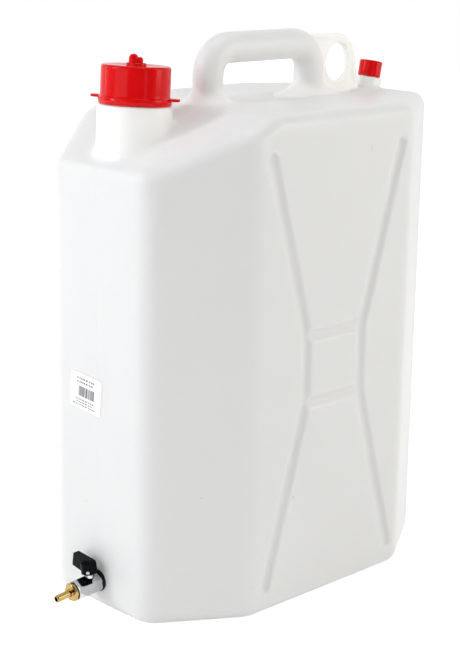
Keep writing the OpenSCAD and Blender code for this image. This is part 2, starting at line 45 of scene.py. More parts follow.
# Can
BODY_L, BODY_W, BODY_H = 352.0, 220.8, 436.4
FACE_W, CHAMFER_L = 118.0, 80.0
SHOULDER = math.radians(25.4)
FRONT_H = 392.0
WALL = 2.2
UPRIGHT_R, RIM_R = 24.0, 12.0
FRONT_Y = -BODY_L / 2
REAR_Y = BODY_L / 2

# Skin drawn over the can, collars and handle: voxel size, rounds of smoothing, share of faces kept
SKIN_VOXEL, SKIN_ROUNDS, SKIN_KEPT = 1.4, 3, 0.2
# Reach of the blend at a collar's foot: round the collar, below its foot and below the collar's top
BLEND_ROUND, BLEND_UNDER, BLEND_FREE = 14.0, 20.0, 9.0
# Edges that turn by more degrees than this are shaded sharp
CARBOY_CREASE, CAP_CREASE, VALVE_CREASE, FITTING_CREASE = 50, 34, 15, 18

# Brace grooves on the two broad sides
GROOVE_W, GROOVE_D = 12.0, 3.6
GROOVE_R = (GROOVE_W * GROOVE_W / 4 + GROOVE_D * GROOVE_D) / (2 * GROOVE_D)
GROOVE_Y = 2.0
SQUARE_W, SQUARE_FOOT, SQUARE_TOP = 35.0, 184.4, 244.4
DIAGONAL_Y, DIAGONAL_FOOT, DIAGONAL_TOP = 81.0, 25.4, 401.4

# Shallow valley in the top, along the handle and down to the filler neck
VALLEY_R, VALLEY_D = 98.0, 3.5
VALLEY_FRONT, VALLEY_REAR, VALLEY_NECK = -62.0, 118.0, -126.0

# Filler neck and its cap; local +Z is the neck's axis, from the middle of the collar's top
NECK = Matrix.Translation((0, -134, 440.4)) @ Matrix.Rotation(math.radians(-3.2), 4, "X")
COLLAR_R, COLLAR_L, FINISH_R, MOUTH_R, FINISH_H = 31.6, 48.0, 26.3, 23.0, 28.0
CAP_GAP, CAP_R, CAP_H, CAP_WALL, CAP_TOP = 0.6, 29.4, 31.8, 2.1, 2.4
CAP_DISH, CAP_EDGE, FLANGE_R, FLANGE_T = 1.2, 2.4, 31.2, 6.0
LUG_REACH, LUG_W, LUG_T, LUG_TURN = 38.4, 9.0, 2.4, 35.0
STUD_TURN, STUD_H, STUD_R = 46.0, 10.4, 8.5
# The stud's two domes: place on its disc, radius and height
STUD_DOMES = ((-2.4, 0.0, 4.1, STUD_H), (3.0, -0.6, 2.6, 8.0))
PITCH, THREAD_D, THREAD_TURNS = 6.0, 1.1, 2.4

# Vent neck and its cap
VENT = Matrix.Translation((0, 161, 446)) @ Matrix.Rotation(math.radians(-11), 4, "X")
VENT_COLLAR_R, VENT_COLLAR_L, VENT_FINISH_R, VENT_BORE_R, VENT_FINISH_H = 12.2, 21.0, 8.8, 6.6, 12.4
VENT_CAP_R, VENT_CAP_H, VENT_CAP_WALL, VENT_GAP = 10.8, 15.0, 1.6, 0.4
VENT_PITCH, VENT_THREAD_D, VENT_THREAD_TURNS = 3.0, 0.6, 2.2

# Handle and tab
HANDLE_R, GRIP_Z, BEND = 13.6, 482.3, 23.0
FRONT_LEG_Y, REAR_LEG_Y = -50.6, 76.0
FRONT_FLARE, REAR_FLARE = 13.0, 20.0
TAB_END_Y, TAB_TOP, TAB_CORNER, TAB_T = 137.4, 489.4, 27.0, 4.4
BEAD_W, BEAD_T = 4.0, 1.2
EYE_Y, EYE_Z, EYE_W, EYE_H, EYE_RIM = 113.2, 463.2, 31.0, 34.6, 3.0

# Valve, lever and hose tail, measured along the valve's drooping axis from the wall
TAP = Matrix.Translation((0, FRONT_Y, 26)) @ Matrix.Rotation(math.radians(95), 4, "X")
STEM_S, HEX_BACK, HEX_FRONT, VALVE_AF = 10.3, 2.0, 28.0, 17.0
HOLE_R, STUB_R, STUB_L, BORE_R = 6.7, 6.55, 16.0, 3.2
CHAMBER_R, CHAMBER_BACK = 6.35, 4.7
BOSS_R, BOSS_TOP, STEM_R, STEM_GAP, POCKET_R, POCKET_TOP = 4.7, 11.1, 2.5, 0.05, 3.65, 8.3
HUB_R, HUB_FOOT, BLADE_FOOT, BLADE_TOP, BLADE_T, BLADE_REACH = 6.7, 11.4, 13.8, 26.4, 5.6, 19.0
SCREW_HOLE_R, SCREW_HOLE_L, SCREW_TURN = 1.55, 13.0, -45.0
TAIL_AF, TAIL_BACK, TAIL_FACE, TAIL_TIP, TAIL_TURN = 14.6, 28.8, 32.0, 47.6, 40.0
TAIL_R, TAIL_BORE_R, TAIL_THREAD_R, TAIL_THREAD_TIP = 3.3, 2.2, 6.2, 20.3


# Shapes


def place(*steps):
    """The matrices of several moves, multiplied in the order given."""
    result = Matrix.Identity(4)
    for step in steps:
        result = result @ step
    return result


def shift(x, y, z):
    return Matrix.Translation((x, y, z))


def turn(degrees, axis):
    return Matrix.Rotation(math.radians(degrees), 4, axis)


def stretch(x, y, z):
    return Matrix.Diagonal((x, y, z, 1))


# Local +Z of the stem runs up from the valve's axis, and local +Y runs back into the can
STEM = place(TAP, shift(0, 0, STEM_S), turn(-90, "X"))


def rod(bm, radius, length, at, tip_radius=None, sides=64):
    """A closed cylinder or cone standing on the plane z = 0 of the matrix at."""
    bmesh.ops.create_cone(bm, cap_ends=True, segments=sides, radius1=radius,
                          radius2=radius if tip_radius is None else tip_radius,
                          depth=length, matrix=place(at, shift(0, 0, length / 2)))


def turned(bm, profile, at, steps=96):
    """A turned piece: a closed profile of radius and height is spun once about the local Z axis."""
    verts = [bm.verts.new((max(r, 0.0), 0, z)) for r, z in profile]
    edges = [bm.edges.new((a, b)) for a, b in zip(verts, verts[1:] + verts[:1])]
    bmesh.ops.spin(bm, geom=verts + edges, cent=(0, 0, 0), axis=(0, 0, 1), angle=math.tau,
                   steps=steps, use_merge=True)
    bmesh.ops.remove_doubles(bm, verts=bm.verts, dist=MERGE_DIST)
    bmesh.ops.transform(bm, matrix=at, verts=bm.verts)
    bmesh.ops.recalc_face_normals(bm, faces=bm.faces)


def arc(centre, radius, start, end, steps=6):
    """Points of a round stretch of a profile, between two angles in degrees."""
    angles = [math.radians(start + (end - start) * i / steps) for i in range(steps + 1)]
    return [(centre[0] + radius * math.cos(a), centre[1] + radius * math.sin(a)) for a in angles]


def thread(bm, root, crest, pitch, turns, foot, at):
    """A screw's land: a small trapezoid carried round the axis while it rises by the pitch."""
    half = pitch * 0.22
    lip = half * 0.45
    section = [(root, -half), (crest, -lip), (crest, lip), (root, half)]
    face = bm.faces.new([bm.verts.new((r, 0, foot + z)) for r, z in section])
    steps = round(48 * turns)
    bmesh.ops.spin(bm, geom=[face], cent=(0, 0, 0), axis=(0, 0, 1),
                   dvec=(0, 0, pitch * turns / steps), angle=math.tau * turns, steps=steps)
    bmesh.ops.transform(bm, matrix=at, verts=bm.verts)
    bmesh.ops.recalc_face_normals(bm, faces=bm.faces)


def plate(bm, corners, rounding, thickness, at):
    """A plate in the local XY plane, its corners rounded, extruded along +Z."""
    verts = [bm.verts.new((x, y, 0)) for x, y in corners]
    bm.faces.new(verts)
    for vert, radius in zip(verts, rounding):
        if radius:
            bmesh.ops.bevel(bm, geom=[vert], offset=radius, offset_type="OFFSET", segments=14, profile=0.5,
                            affect="VERTICES", clamp_overlap=True, material=-1)
    grown = bmesh.ops.extrude_face_region(bm, geom=bm.faces[:])
    bmesh.ops.translate(bm, verts=[g for g in grown["geom"] if isinstance(g, bmesh.types.BMVert)],
                        vec=(0, 0, thickness))
    bmesh.ops.recalc_face_normals(bm, faces=bm.faces)
    bmesh.ops.transform(bm, matrix=at, verts=bm.verts)


def bar(a, b, radius, sides=48):
    """A bar with round ends between two points."""
    run = Vector(b) - Vector(a)
    split = 0.01 * radius
    bm = bmesh.new()
    bmesh.ops.create_uvsphere(bm, u_segments=sides, v_segments=sides // 2, radius=radius)
    bmesh.ops.bisect_plane(bm, geom=bm.verts[:] + bm.edges[:] + bm.faces[:],
                           plane_co=(0, 0, split), plane_no=(0, 0, 1))
    upper = [v for v in bm.verts if v.co.z > split / 2]
    bmesh.ops.translate(bm, verts=upper, vec=(0, 0, run.length))
    along = run.to_track_quat("Z", "Y").to_matrix().to_4x4()
    bmesh.ops.transform(bm, matrix=place(shift(*a), along), verts=bm.verts)
    return mesh_piece("bar", bm)


def mesh_piece(name, bm):
    """Turns a bmesh in millimetres into an object in metres."""
    bmesh.ops.remove_doubles(bm, verts=bm.verts, dist=MERGE_DIST)
    bmesh.ops.scale(bm, vec=(MM, MM, MM), verts=bm.verts)
    mesh = bpy.data.meshes.new(name)
    bm.to_mesh(mesh)
    bm.free()
    made = bpy.data.objects.new(name, mesh)
    bpy.context.scene.collection.objects.link(made)
    shade(made)
    return made


def reopen(piece):
    """Turns an object in metres back into a bmesh in millimetres, and removes the object."""
    bm = bmesh.new()
    bm.from_mesh(piece.data)
    bmesh.ops.scale(bm, vec=(1 / MM,) * 3, verts=bm.verts)
    bpy.data.objects.remove(piece)
    return bm


def shade(piece, angle=40):
    """Shades a piece smooth, but for edges that turn by more than the angle in degrees."""
    piece.data.polygons.foreach_set("use_smooth", [True] * len(piece.data.polygons))
    piece.data.set_sharp_from_angle(angle=math.radians(angle))


def settle(piece):
    """Applies the modifiers of a piece to its mesh."""
    bpy.context.view_layer.update()
    graph = bpy.context.evaluated_depsgraph_get()
    mesh = bpy.data.meshes.new_from_object(piece.evaluated_get(graph))
    old = piece.data
    piece.modifiers.clear()
    piece.data = mesh
    mesh.name = piece.name
    bpy.data.meshes.remove(old)


def combine(piece, tool, operation):
    """Cuts, joins or keeps what is common with another piece, which is then removed."""
    step = piece.modifiers.new("combine", "BOOLEAN")
    step.operation = operation
    step.solver = "MANIFOLD"
    step.object = tool
    settle(piece)
    bpy.data.objects.remove(tool)
    return piece


def join(piece, shape, *sizes, operation="UNION"):
    """Joins a newly made shape to a piece, or cuts it away."""
    bm = bmesh.new()
    shape(bm, *sizes)
    return combine(piece, mesh_piece("tool", bm), operation)


def cut(piece, shape, *sizes):
    return join(piece, shape, *sizes, operation="DIFFERENCE")


def start(name, shape, *sizes):
    """A piece that begins with one shape."""
    bm = bmesh.new()
    shape(bm, *sizes)
    return mesh_piece(name, bm)


def soften_edges(piece, width, segments=2, angle=30):
    """Rounds the edges of a moulded or machined piece that turn by more than the angle in degrees."""
    step = piece.modifiers.new("edges", "BEVEL")
    step.width = width * MM
    step.segments = segments
    step.limit_method = "ANGLE"
    step.angle_limit = math.radians(angle)
    settle(piece)
    return piece


def merge_into(bm, part):
    """Adds one bmesh to another."""
    keep = bpy.data.meshes.new("keep")
    part.to_mesh(keep)
    part.free()
    bm.from_mesh(keep)
    bpy.data.meshes.remove(keep)


# Materials


def srgb(code):
    """Linear colour of an sRGB hex value."""
    parts = [int(code[i:i + 2], 16) / 255 for i in (0, 2, 4)]
    return [p / 12.92 if p <= 0.04045 else ((p + 0.055) / 1.055) ** 2.4 for p in parts] + [1.0]


def add(tree, kind, inputs=None, **settings):
    """Adds a node with its settings; a socket among the inputs is linked, anything else is its value."""
    made = tree.nodes.new(kind)
    for name, value in settings.items():
        setattr(made, name, value)
    for socket, value in (inputs or {}).items():
        if isinstance(value, bpy.types.NodeSocket):
            tree.links.new(value, made.inputs[socket])
        else:
            made.inputs[socket].default_value = value
    return made


def new_material(name):
    """An empty material and its node tree."""
    made = bpy.data.materials.new(name)
    made.use_nodes = True
    made.node_tree.nodes.clear()
    return made, made.node_tree


def finish_surface(tree, shader):
    add(tree, "ShaderNodeOutputMaterial", {"Surface": shader.outputs[0]})


def mixed(tree, factor, first, second):
    """A mix of two colours; 6, 7 and 2 are the colour sockets of the Mix node."""
    return add(tree, "ShaderNodeMix", {"Factor": factor, 6: first, 7: second}, data_type="RGBA").outputs[2]


# Small specks of dirt on the can: place in metres, radius in metres and darkness
SPECKS = [((0.1104, -0.0955, 0.0307), 0.0009, 0.7), ((0.1104, -0.0470, 0.1021), 0.0011, 0.35),
          ((0.0858, -0.1343, 0.1162), 0.0008, 0.2), ((-0.0169, -0.1760, 0.0951), 0.0008, 0.2),
          ((0.1104, 0.0413, 0.4007), 0.0016, 0.12)]
# Share by which the tone of a plain finish varies
VARIATION = 0.06
# Place and slant of the print on the label
PRINT_AT, PRINT_TURN = (0.0162, 0, -0.194), math.radians(-4.7)
# Rows of short marks above and below the bars: lowest and highest edge, left and right end in metres
PRINT_ROWS = ((0.0105, 0.0122, -0.012, 0.0115), (0.0072, 0.0089, -0.012, 0.010),
              (-0.0084, -0.0072, -0.014, 0.012), (-0.0108, -0.0096, -0.013, 0.010),
              (-0.0132, -0.0120, -0.017, 0.0135))


def natural_polyethylene():
    """Blow-moulded natural HDPE: milky, lets light a few millimetres in, satin skin with slow waves."""
    made, tree = new_material("natural_polyethylene")
    place_of = add(tree, "ShaderNodeTexCoord").outputs["Object"]
    # Waves of the mould about 40 mm long, and a grain of about 1 mm, drawn coarser than the real one
    waves = add(tree, "ShaderNodeTexNoise", {"Vector": place_of, "Scale": 24.0, "Detail": 1.0})
    skin = add(tree, "ShaderNodeTexNoise", {"Vector": place_of, "Scale": 900.0, "Detail": 2.0})
    slow = add(tree, "ShaderNodeBump", {"Height": waves.outputs[0], "Strength": 0.2, "Distance": 0.001})
    fine = add(tree, "ShaderNodeBump", {"Height": skin.outputs[0], "Strength": 0.1, "Distance": 0.0002,
                                        "Normal": slow.outputs[0]})
    # The halves of the mould meet in the middle plane and leave a thin raised line
    parts = add(tree, "ShaderNodeSeparateXYZ", {"Vector": place_of})
    away = add(tree, "ShaderNodeMath", {0: parts.outputs["X"]}, operation="ABSOLUTE")
    seam = add(tree, "ShaderNodeMapRange", {"Value": away.outputs[0], "From Min": 0.0, "From Max": 0.0009,
                                            "To Min": 1.0, "To Max": 0.0}, interpolation_type="SMOOTHSTEP")
    ridge = add(tree, "ShaderNodeBump", {"Height": seam.outputs[0], "Strength": 0.4, "Distance": 0.0006,
                                         "Normal": fine.outputs[0]})
    # The wall is a little thinner and clearer in clouds of about 140 mm, which tints it faintly
    cloud = add(tree, "ShaderNodeTexNoise", {"Vector": place_of, "Scale": 7.0, "Detail": 2.0})
    tone = mixed(tree, cloud.outputs[0], srgb("F3F2EE"), srgb("F6F5F2"))
    for spot, radius, dark in SPECKS:
        gap = add(tree, "ShaderNodeVectorMath", {0: place_of, 1: spot}, operation="DISTANCE")
        mark = add(tree, "ShaderNodeMapRange", {"Value": gap.outputs["Value"], "From Min": radius * 0.6,
                                                "From Max": radius * 1.3, "To Min": dark, "To Max": 0.0})
        tone = mixed(tree, mark.outputs[0], tone, srgb("8C8478"))
    gloss = add(tree, "ShaderNodeMapRange", {"Value": waves.outputs[0], "To Min": 0.34, "To Max": 0.44})
    finish_surface(tree, add(tree, "ShaderNodeBsdfPrincipled", {
        "Base Color": tone, "Roughness": gloss.outputs[0], "IOR": 1.54,
        "Subsurface Weight": 0.7, "Subsurface Radius": (1.0, 0.96, 0.9), "Subsurface Scale": 0.008,
        "Normal": ridge.outputs[0]}))
    return made


def red_polypropylene():
    """Injection-moulded PP, self-coloured red: smooth gloss with a faint flow pattern."""
    made, tree = new_material("red_polypropylene")
    place_of = add(tree, "ShaderNodeTexCoord").outputs["Object"]
    # The melt leaves flow marks about 11 mm long
    flow = add(tree, "ShaderNodeTexNoise", {"Vector": place_of, "Scale": 90.0, "Detail": 2.0})
    tone = mixed(tree, flow.outputs[0], srgb("CC070E"), srgb("DF0C0F"))
    bump = add(tree, "ShaderNodeBump", {"Height": flow.outputs[0], "Strength": 0.25, "Distance": 0.0004})
    gloss = add(tree, "ShaderNodeMapRange", {"Value": flow.outputs[0], "To Min": 0.11, "To Max": 0.2})
    finish_surface(tree, add(tree, "ShaderNodeBsdfPrincipled", {
        "Base Color": tone, "Roughness": gloss.outputs[0], "IOR": 1.49, "Specular IOR Level": 0.15,
        "Subsurface Weight": 0.1, "Subsurface Radius": (1.0, 0.1, 0.08), "Subsurface Scale": 0.002,
        "Normal": bump.outputs[0]}))
    return made


def plain(name, colour, roughness, metallic=0.0, grain=400.0, depth=0.0001, ior=1.5, level=0.5):
    """A finish whose tone and gloss vary a little with its grain, given in grains per metre."""
    made, tree = new_material(name)
    place_of = add(tree, "ShaderNodeTexCoord").outputs["Object"]
    noise = add(tree, "ShaderNodeTexNoise", {"Vector": place_of, "Scale": grain, "Detail": 3.0})
    low = [max(0.0, c * (1 - VARIATION)) for c in colour[:3]] + [1.0]
    high = [min(1.0, c * (1 + VARIATION)) for c in colour[:3]] + [1.0]
    tone = mixed(tree, noise.outputs[0], low, high)
    gloss = add(tree, "ShaderNodeMapRange", {"Value": noise.outputs[0], "To Min": roughness * 0.8,
                                             "To Max": roughness * 1.2})
    bump = add(tree, "ShaderNodeBump", {"Height": noise.outputs[0], "Strength": 0.3, "Distance": depth})
    values = {"Base Color": tone, "Roughness": gloss.outputs[0], "Metallic": metallic,
              "Normal": bump.outputs[0]}
    if not metallic:
        values["IOR"] = ior
        values["Specular IOR Level"] = level
    finish_surface(tree, add(tree, "ShaderNodeBsdfPrincipled", values))
    return made


def printed_label():
    """Matt label paper with generic grey bars and rows of marks, no lettering."""
    made, tree = new_material("printed_label_paper")
    place_of = add(tree, "ShaderNodeTexCoord").outputs["Object"]
    centred = add(tree, "ShaderNodeMapping", {"Vector": place_of, "Location": PRINT_AT}, vector_type="POINT")
    level = add(tree, "ShaderNodeVectorRotate", {"Vector": centred.outputs[0], "Axis": (0, 1, 0),
                                                 "Angle": PRINT_TURN})
    parts = add(tree, "ShaderNodeSeparateXYZ", {"Vector": level.outputs[0]})
    across, up = parts.outputs["X"], parts.outputs["Z"]

    def stripes(detail):
        """Uneven upright stripes, about 1.1 mm apart."""
        return add(tree, "ShaderNodeTexNoise", {"W": across, "Scale": 900.0, "Detail": detail},
                   noise_dimensions="1D").outputs[0]

    def both(a, b, operation="MULTIPLY"):
        """Two values joined by one operation, which is 1 only where both are when they are multiplied."""
        return add(tree, "ShaderNodeMath", {0: a, 1: b}, operation=operation).outputs[0]

    def band(value, low, high):
        """1 where the value lies between two limits."""
        return both(both(value, low, "GREATER_THAN"), both(value, high, "LESS_THAN"))

    # The block of bars in the middle, then the rows of marks
    ink = both(both(stripes(1.0), 0.45, "GREATER_THAN"),
               both(band(across, -0.010, 0.0115), band(up, -0.0045, 0.0045)))
    dark_mark = both(stripes(2.0), 0.47, "GREATER_THAN")
    for low, high, left, right in PRINT_ROWS:
        row = both(band(across, left, right), band(up, low, high))
        ink = both(ink, both(row, dark_mark), "MAXIMUM")
    # Fibres of the paper, drawn about 0.7 mm wide so that they show
    fibre = add(tree, "ShaderNodeTexNoise", {"Vector": place_of, "Scale": 1500.0, "Detail": 2.0})
    bump = add(tree, "ShaderNodeBump", {"Height": fibre.outputs[0], "Strength": 0.1, "Distance": 0.0001})
    finish_surface(tree, add(tree, "ShaderNodeBsdfPrincipled", {
        "Base Color": mixed(tree, ink, srgb("FBFBFA"), srgb("6C6A6E")), "Roughness": 0.55, "IOR": 1.5,
        "Normal": bump.outputs[0]}))
    return made


MILKY = natural_polyethylene()
RED = red_polypropylene()
# The grains below are 0.7 to 3.3 mm wide, coarser than the real ones, so that they show
# Nickel-chrome plate over brass: bright, a little soft from the turned surface below
CHROME = plain("chrome_plate", srgb("C9CCCE"), 0.07, metallic=1.0, grain=300.0, depth=0.00004)
# Bare turned brass, bright where it was cut
BRASS = plain("turned_brass", srgb("B59A60"), 0.15, metallic=1.0, grain=1500.0, depth=0.00001)
# Bare steel of the set screw, dull from its heat treatment
STEEL = plain("plain_steel", srgb("B9BABB"), 0.25, metallic=1.0, grain=500.0, depth=0.00003)
# Glass-filled nylon, moulded black with a satin grain
NYLON = plain("black_nylon", srgb("0A0E0E"), 0.28, grain=1400.0, depth=0.00008, ior=1.53, level=0.04)
# Moulded nitrile rubber, matt black
RUBBER = plain("nitrile_rubber", srgb("0B0B0B"), 0.6, grain=900.0, depth=0.00008, ior=1.52, level=0.2)
# Machined PTFE, waxy white
PTFE = plain("ptfe", srgb("F0F0EA"), 0.4, grain=600.0, depth=0.00005, ior=1.38)
# Closed-cell polyethylene foam, with cells that catch no highlight
FOAM = plain("liner_foam", srgb("EDEDE6"), 0.7, grain=1200.0, depth=0.0002)
LABEL = printed_label()


def dress(piece, finish, body, node):
    """Gives a piece its material and its body, and hides the node that it stands for."""
    piece.data.materials.clear()
    piece.data.materials.append(finish)
    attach(piece, body)
    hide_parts(node)


# The can


def can_hull(bm, inset):
    """The rounded octagonal form with its inclined shoulder, as the hull of discs with round edges."""
    step = UPRIGHT_R - RIM_R
    edge_x, edge_y = BODY_W / 2 - UPRIGHT_R, REAR_Y - UPRIGHT_R
    run = Vector((CHAMFER_L, (BODY_W - FACE_W) / 2)).normalized()
    reach = run.x * FACE_W / 2 + run.y * REAR_Y - UPRIGHT_R
    plan = [((reach - run.y * edge_y) / run.x, edge_y), (edge_x, (reach - run.x * edge_x) / run.y)]
    top = BODY_H - RIM_R
    sunk = (RIM_R + step * math.sin(SHOULDER)) / math.cos(SHOULDER)

    def slope_z(y):
        return min(top, FRONT_H + (y - FRONT_Y) * math.tan(SHOULDER) - sunk)

    crease = FRONT_Y + (top - FRONT_H + sunk) / math.tan(SHOULDER)
    for sx in (-1, 1):
        spots = [(x, sy * y, z) for sy in (-1, 1) for x, y in plan for z in (RIM_R, slope_z(sy * y))]
        for x, y, z in spots + [(edge_x, crease, top)]:
            disc = bmesh.ops.create_uvsphere(bm, u_segments=48, v_segments=24, radius=RIM_R - inset)["verts"]
            for vert in disc:
                vert.co += vert.co.xy.to_3d().normalized() * step + Vector((sx * x, y, z))
    bmesh.ops.delete(bm, geom=bm.edges[:], context="EDGES_FACES")
    hull = bmesh.ops.convex_hull(bm, input=bm.verts)
    inside = {g for g in hull["geom_interior"] if isinstance(g, bmesh.types.BMVert)}
    bmesh.ops.delete(bm, geom=list(inside), context="VERTS")


def press_grooves(piece, grow):
    """Presses the brace pattern into both broad sides with bars that have round ends."""
    bars = [((-SQUARE_W, z), (SQUARE_W, z), -0.3) for z in (SQUARE_FOOT, SQUARE_TOP)]
    for sy in (-1, 1):
        foot, top = (sy * SQUARE_W, SQUARE_FOOT), (sy * SQUARE_W, SQUARE_TOP)
        bars += [(foot, top, 0.0), (top, (sy * DIAGONAL_Y, DIAGONAL_TOP), 0.3),
                 (foot, (sy * DIAGONAL_Y, DIAGONAL_FOOT), 0.3)]
    for sx in (-1, 1):
        x = sx * (BODY_W / 2 + GROOVE_R - GROOVE_D)
        for (ya, za), (yb, zb), more in bars:
            tool = bar((x, ya + GROOVE_Y, za), (x, yb + GROOVE_Y, zb), GROOVE_R + grow + more)
            combine(piece, tool, "DIFFERENCE")


def press_valley(piece, grow):
    """Sinks the shallow valley along the top, and down the slope to the neck."""
    above = VALLEY_R - VALLEY_D
    neck_z = FRONT_H + (VALLEY_NECK - FRONT_Y) * math.tan(SHOULDER)
    front = (0, VALLEY_FRONT, BODY_H + above)
    neck = (0, VALLEY_NECK - above * math.sin(SHOULDER), neck_z + above * math.cos(SHOULDER))
    crease = (0, neck[1] + (front[2] - neck[2]) / math.tan(SHOULDER), front[2])
    for a, b in ((front, (0, VALLEY_REAR, front[2])), (neck, crease)):
        combine(piece, bar(a, b, VALLEY_R + grow, 96), "DIFFERENCE")


def handle_tube(bm, radius, foot):
    """The handle's bent tube as one closed sweep: leg, bend, grip, bend, leg."""
    bmesh.ops.create_circle(bm, cap_ends=True, segments=48, radius=radius, matrix=shift(0, FRONT_LEG_Y, foot))
    tip = bm.faces[:]

    def grow(faces):
        within = faces if len(bm.faces) > 1 else []
        grown = bmesh.ops.extrude_face_region(bm, geom=faces)["geom"]
        bmesh.ops.delete(bm, geom=within, context="FACES_ONLY")
        verts = [g for g in grown if isinstance(g, bmesh.types.BMVert)]
        return verts, [g for g in grown if isinstance(g, bmesh.types.BMFace)]

    def push(faces, vec):
        verts, faces = grow(faces)
        bmesh.ops.translate(bm, verts=verts, vec=vec)
        return faces

    def bend(faces, y, z):
        steps = 12
        for _ in range(steps):
            verts, faces = grow(faces)
            bmesh.ops.rotate(bm, verts=verts, cent=(0, y, z),
                             matrix=Matrix.Rotation(math.radians(-90 / steps), 3, "X"))
        return faces

    low_bend = GRIP_Z - BEND
    tip = push(tip, (0, 0, low_bend - foot))
    tip = bend(tip, FRONT_LEG_Y + BEND, low_bend)
    tip = push(tip, (0, REAR_LEG_Y - FRONT_LEG_Y - 2 * BEND, 0))
    tip = bend(tip, REAR_LEG_Y - BEND, low_bend)
    push(tip, (0, 0, foot - low_bend))
    bmesh.ops.recalc_face_normals(bm, faces=bm.faces)


def flare(bm, y, radius, squeeze):
    """Concave flare where a leg of the handle runs into the top, narrower across the can."""
    reach = HANDLE_R + radius
    profile = [(0, BODY_H - 5), (reach, BODY_H - 5)]
    profile += arc((reach, BODY_H + radius), radius, 270, 180, 10) + [(0, BODY_H + radius)]
    turned(bm, profile, place(shift(0, y, 0), stretch(squeeze, 1, 1)), 48)


def tab_plate(bm, thickness, inset):
    """Side outline of the tab, standing in the middle plane."""
    at = place(shift(-thickness / 2, 0, 0), turn(90, "Z"), turn(90, "X"))
    end, top, foot = TAB_END_Y - inset, TAB_TOP - inset, BODY_H - 8
    outline = [(REAR_LEG_Y, foot), (end + 7, foot), (end, TAB_TOP - TAB_CORNER), (end, top),
               (REAR_LEG_Y, top)]
    plate(bm, outline, (0, 0, 0, TAB_CORNER - inset, 0), thickness, at)


def tab():
    """The thin tab behind the handle, with its beaded edge and oval eye."""
    made = start("tab", tab_plate, TAB_T + 2 * BEAD_T, 0)
    for side in (-1, 1):
        bm = bmesh.new()
        tab_plate(bm, 2 * BEAD_T, BEAD_W)
        bmesh.ops.translate(bm, verts=bm.verts, vec=(side * (TAB_T / 2 + BEAD_T), 0, 0))
        combine(made, mesh_piece("pocket", bm), "DIFFERENCE")
    # The eye and its rim are ellipses whose axis lies across the can
    for change, radius, length in ((join, EYE_W / 2 + EYE_RIM, TAB_T + BEAD_T), (cut, EYE_W / 2, 40)):
        at = place(shift(-length / 2, EYE_Y, EYE_Z), turn(90, "Y"), stretch(EYE_H / EYE_W, 1, 1))
        change(made, rod, radius, length, at)
    return reopen(made)


def blend_foot(piece, at, radius, height, rounds):
    """Blends the foot of a collar into the can, as blow moulding leaves it."""
    bm = bmesh.new()
    bm.from_mesh(piece.data)
    local = at.inverted()
    near = []
    for vert in bm.verts:
        spot = local @ (vert.co / MM)
        if -height - BLEND_UNDER < spot.z < -BLEND_FREE and spot.xy.length < radius + BLEND_ROUND:
            near.append(vert)
    for _ in range(rounds):
        bmesh.ops.smooth_vert(bm, verts=near, factor=0.5,
                              use_axis_x=True, use_axis_y=True, use_axis_z=True)
    bm.to_mesh(piece.data)
    bm.free()


def carboy():
    """The blow-moulded can in one piece: body, necks, handle and tab, hollow with an even wall."""
    body = start("carboy_shell", can_hull, 0)
    press_grooves(body, 0)
    press_valley(body, 0)
    bm = reopen(body)

    # Collars, handle and tab are added, and one skin is drawn over all of them
    rod(bm, COLLAR_R, COLLAR_L - 1.5, place(NECK, shift(0, 0, -COLLAR_L)))
    rod(bm, COLLAR_R, 1.5, place(NECK, shift(0, 0, -1.5)), COLLAR_R - 1.5)
    rod(bm, VENT_COLLAR_R, VENT_COLLAR_L, place(VENT, shift(0, 0, -VENT_COLLAR_L)))
    leg_foot = BODY_H - 10
    for shape, sizes in ((handle_tube, (HANDLE_R, leg_foot)), (flare, (FRONT_LEG_Y, FRONT_FLARE, 1.0)),
                         (flare, (REAR_LEG_Y, REAR_FLARE, 0.8))):
        part = bmesh.new()
        shape(part, *sizes)
        merge_into(bm, part)
    merge_into(bm, tab())
    outside = mesh_piece("carboy_shell", bm)
    skin = outside.modifiers.new("skin", "REMESH")
    skin.mode = "VOXEL"
    skin.voxel_size = SKIN_VOXEL * MM
    settle(outside)
    blend_foot(outside, NECK, COLLAR_R, height=30, rounds=60)
    blend_foot(outside, VENT, VENT_COLLAR_R, height=12, rounds=20)
    soften = outside.modifiers.new("soften", "SMOOTH")
    soften.factor = 0.5
    soften.iterations = SKIN_ROUNDS
    thin = outside.modifiers.new("thin", "DECIMATE")
    thin.ratio = SKIN_KEPT
    settle(outside)

    # The threaded finishes stay crisp
    finishes = ((NECK, FINISH_R, THREAD_D, FINISH_H, PITCH, THREAD_TURNS),
                (VENT, VENT_FINISH_R, VENT_THREAD_D, VENT_FINISH_H, VENT_PITCH, VENT_THREAD_TURNS))
    for at, crest, depth, height, pitch, turns in finishes:
        root = crest - depth
        finish = [(0, -3), (root, -3), (root, height - 0.8), (root - 0.8, height), (0, height)]
        join(outside, turned, finish, at)
        join(outside, thread, root - 0.3, crest, pitch, turns, height - pitch * (turns + 0.4), at)

    # The inner form is cut out: the same shapes less the wall, and a rod through each opening
    inside = start("inside", can_hull, WALL)
    press_grooves(inside, WALL)
    press_valley(inside, WALL)
    join(inside, handle_tube, HANDLE_R - WALL, leg_foot)
    for at, radius, within, beyond in ((NECK, MOUTH_R, COLLAR_L, FINISH_H + 12),
                                       (VENT, VENT_BORE_R, VENT_COLLAR_L - 1, VENT_FINISH_H + 4),
                                       (TAP, HOLE_R, 6, 2)):
        join(inside, rod, radius, within + beyond, place(at, shift(0, 0, -within)))
    combine(outside, inside, "DIFFERENCE")
    shade(outside, CARBOY_CREASE)
    return outside


dress(carboy(), MILKY, "can", "carboy")


# The caps


